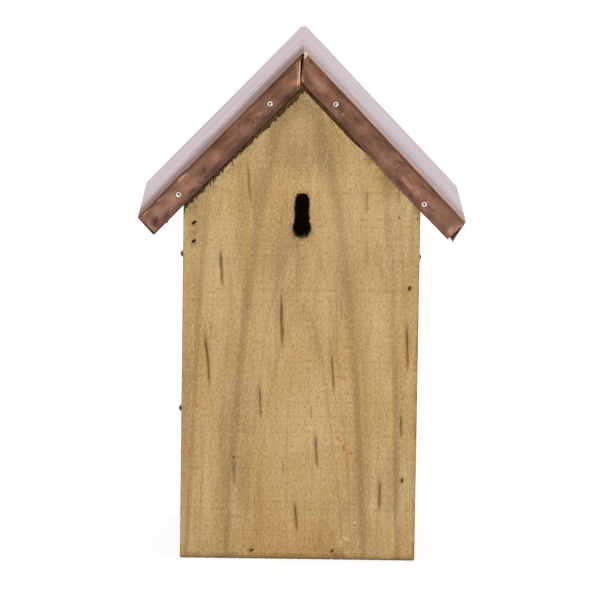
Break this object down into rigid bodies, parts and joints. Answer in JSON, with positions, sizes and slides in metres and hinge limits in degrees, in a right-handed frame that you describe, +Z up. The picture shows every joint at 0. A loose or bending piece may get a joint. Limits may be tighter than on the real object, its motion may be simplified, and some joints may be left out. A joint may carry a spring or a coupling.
{
  "type": "bird nest box",
  "caption": "Gabled wooden nest box with a folded copper roof, a hanging slot in its back board and a front door that tilts on pins for cleaning.",
  "frame": {"origin": "middle of the bounding box at the ground, under the middle of the roof", "axes": "+Z up; the back board with its hanging slot faces -Y and the tilting front door faces +Y; +X is to the right when looking at the back board"},
  "size_m": [0.1806, 0.149, 0.2823],
  "materials": {
    "pine_back": "pressure treated pine, planed, weathered and stained",
    "pine_walls": "pressure treated pine, planed",
    "pine_roof": "rough sawn and stained dark at its edges",
    "copper_sheet": "thin copper sheet, tarnished and smudged, satin",
    "nail_steel": "bright dome head",
    "brad_steel": "dark, sunk below the face",
    "pin_steel": "dull, lightly rusted"
  },
  "bodies": {
    "box": {"back_board": "pine_back", "left_side": "pine_walls", "right_side": "pine_walls", "floor_board": "pine_walls", "roof_board_left": "pine_roof", "roof_board_right": "pine_roof", "copper_roof": "copper_sheet", "back_flange_nails": "nail_steel", "front_flange_nails": "nail_steel", "back_brads_left": "brad_steel", "back_brads_right": "brad_steel", "back_brads_floor": "brad_steel", "floor_brads_left": "brad_steel", "floor_brads_right": "brad_steel", "roof_brads_left": "brad_steel", "roof_brads_right": "brad_steel", "pivot_pin_left": "pin_steel", "pivot_pin_right": "pin_steel"},
    "door": {"front_door": "pine_walls"},
    "lock": {"lock_pin": "pin_steel"}
  },
  "joints": [
    {"name": "door_tilt", "type": "hinge", "parent": "box", "child": "door", "pos_m": [0, 0.0485, 0.1525], "axis": [1, 0, 0], "range_deg": [0, 70]},
    {"name": "lock_slide", "type": "slide", "parent": "box", "child": "lock", "axis": [-1, 0, 0], "range_m": [-0.0029, 0.012]}
  ]
}
